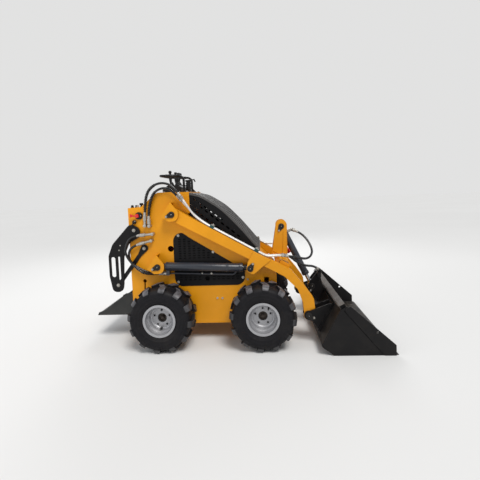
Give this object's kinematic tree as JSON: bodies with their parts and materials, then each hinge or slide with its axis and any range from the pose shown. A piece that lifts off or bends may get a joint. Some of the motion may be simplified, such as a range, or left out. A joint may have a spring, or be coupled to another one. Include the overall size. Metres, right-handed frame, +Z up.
{
  "type": "compact skid steer loader",
  "caption": "Compact walk-behind skid steer loader with driven wheels, pivoting lift arms, a tilting bucket, hydraulic cylinders and an operator step",
  "frame": {"origin": "on the ground, on the centre plane, at the middle of the loader's whole length from the step's rear edge to the bucket's cutting edge", "axes": "+X forward towards the bucket, +Y to the operator's left, +Z up"},
  "size_m": [2.116, 1.082, 1.269],
  "materials": {
    "paint_yellow": "satin yellow enamel on steel",
    "paint_black": "satin black enamel on steel",
    "panel_black": "matte black powder coat on punched sheet",
    "hood_grey": "dull dark grey powder coat on mesh sheet",
    "cylinder_black": "glossy blue-black enamel",
    "rod_chrome": "hard chrome rod",
    "galvanised": "zinc-plated steel tube and fittings",
    "worn_steel": "bare and primer-grey worn steel",
    "rim_silver": "silver painted wheel",
    "tyre_rubber": "dusty black rubber",
    "hose_rubber": "smooth black hose rubber",
    "control_black": "matte black plastic and rubber",
    "engine_iron": "dark cast engine",
    "switch_red": "glossy red plastic on a black disc"
  },
  "bodies": {
    "chassis": {"side_plate_right": "paint_yellow", "side_plate_left": "paint_yellow", "tub": "paint_yellow", "console": "paint_yellow", "hood": "hood_grey", "hood_sides": "panel_black", "side_panel_right": "panel_black", "side_panel_left": "panel_black", "engine": "engine_iron", "chassis_pins": "cylinder_black", "wheel_motors": "paint_black", "step": "paint_black", "guard_right": "paint_black", "guard_left": "paint_black", "handle_bar": "paint_black", "control_levers": "control_black", "filler": "control_black", "fittings": "galvanised", "battery_switch": "switch_red", "hose_top_outer_right": "hose_rubber", "hose_top_outer_left": "hose_rubber", "hose_top_inner_right": "hose_rubber", "hose_top_inner_left": "hose_rubber", "hose_side_upper_right": "hose_rubber", "hose_side_upper_left": "hose_rubber", "hose_side_lower_right": "hose_rubber", "hose_side_lower_left": "hose_rubber"},
    "lift_arm": {"arm_right": "paint_yellow", "arm_left": "paint_yellow", "arm_cross": "paint_yellow", "tilt_bracket": "paint_yellow", "arm_pins": "cylinder_black", "arm_tubes": "galvanised", "hose_tilt": "hose_rubber", "hose_front": "hose_rubber"},
    "tilt_barrel": {"tilt_barrel": "cylinder_black"},
    "tilt_rod": {"tilt_rod": "rod_chrome"},
    "bucket": {"bucket_shell": "worn_steel", "bucket_sides": "paint_black", "cutting_edge": "worn_steel", "coupler": "paint_black", "coupler_pins": "cylinder_black"},
    "wheel_front_right": {"tyre_front_right": "tyre_rubber", "rim_front_right": "rim_silver"},
    "wheel_front_left": {"tyre_front_left": "tyre_rubber", "rim_front_left": "rim_silver"},
    "wheel_rear_right": {"tyre_rear_right": "tyre_rubber", "rim_rear_right": "rim_silver"},
    "wheel_rear_left": {"tyre_rear_left": "tyre_rubber", "rim_rear_left": "rim_silver"},
    "lift_barrel_right": {"lift_barrel_right": "cylinder_black"},
    "lift_rod_right": {"lift_rod_right": "rod_chrome"},
    "lift_barrel_left": {"lift_barrel_left": "cylinder_black"},
    "lift_rod_left": {"lift_rod_left": "rod_chrome"}
  },
  "joints": [
    {"name": "wheel_front_right_turn", "type": "hinge", "parent": "chassis", "child": "wheel_front_right", "pos_m": [0.2, 0, 0.23], "axis": [0, 1, 0], "continuous": true},
    {"name": "wheel_front_left_turn", "type": "hinge", "parent": "chassis", "child": "wheel_front_left", "pos_m": [0.2, 0, 0.23], "axis": [0, 1, 0], "continuous": true},
    {"name": "wheel_rear_right_turn", "type": "hinge", "parent": "chassis", "child": "wheel_rear_right", "pos_m": [-0.5, 0, 0.23], "axis": [0, 1, 0], "continuous": true},
    {"name": "wheel_rear_left_turn", "type": "hinge", "parent": "chassis", "child": "wheel_rear_left", "pos_m": [-0.5, 0, 0.23], "axis": [0, 1, 0], "continuous": true},
    {"name": "lift", "type": "hinge", "parent": "chassis", "child": "lift_arm", "pos_m": [-0.416, 0, 0.94], "axis": [0, -1, 0], "range_deg": [0, 78], "deforming": ["hose_top_outer_right", "hose_top_outer_left", "hose_top_inner_right", "hose_top_inner_left"]},
    {"name": "bucket_dump", "type": "hinge", "parent": "lift_arm", "child": "bucket", "pos_m": [0.518, 0, 0.203], "axis": [0, 1, 0], "range_deg": [-25, 70], "deforming": ["hose_front"]},
    {"name": "lift_barrel_right_turn", "type": "hinge", "parent": "chassis", "child": "lift_barrel_right", "pos_m": [-0.536, 0, 0.57], "axis": [0, -1, 0], "range_deg": [0, 57.16], "deforming": ["hose_side_upper_right", "hose_side_lower_right"]},
    {"name": "lift_rod_right_slide", "type": "slide", "parent": "lift_barrel_right", "child": "lift_rod_right", "axis": [0.9991, 0, -0.0424], "range_m": [0, 0.4]},
    {"name": "lift_barrel_left_turn", "type": "hinge", "parent": "chassis", "child": "lift_barrel_left", "pos_m": [-0.536, 0, 0.57], "axis": [0, -1, 0], "range_deg": [0, 57.16], "deforming": ["hose_side_upper_left", "hose_side_lower_left"]},
    {"name": "lift_rod_left_slide", "type": "slide", "parent": "lift_barrel_left", "child": "lift_rod_left", "axis": [0.9991, 0, -0.0424], "range_m": [0, 0.4]},
    {"name": "tilt_barrel_turn", "type": "hinge", "parent": "lift_arm", "child": "tilt_barrel", "pos_m": [0.364, 0, 0.803], "axis": [0, -1, 0], "range_deg": [-3, 3], "deforming": ["hose_tilt"]},
    {"name": "tilt_rod_slide", "type": "slide", "parent": "tilt_barrel", "child": "tilt_rod", "axis": [0.4274, 0, -0.904], "range_m": [-0.056, 0.16]}
  ],
  "couplings": [
    {"joint": "lift_barrel_right_turn", "follows": "lift", "ratio": 0.72},
    {"joint": "lift_rod_right_slide", "follows": "lift", "m_per_rad": 0.292},
    {"joint": "lift_barrel_left_turn", "follows": "lift", "ratio": 0.72},
    {"joint": "lift_rod_left_slide", "follows": "lift", "m_per_rad": 0.292},
    {"joint": "tilt_barrel_turn", "follows": "bucket_dump", "ratio": 0.04},
    {"joint": "tilt_rod_slide", "follows": "bucket_dump", "m_per_rad": 0.126}
  ]
}
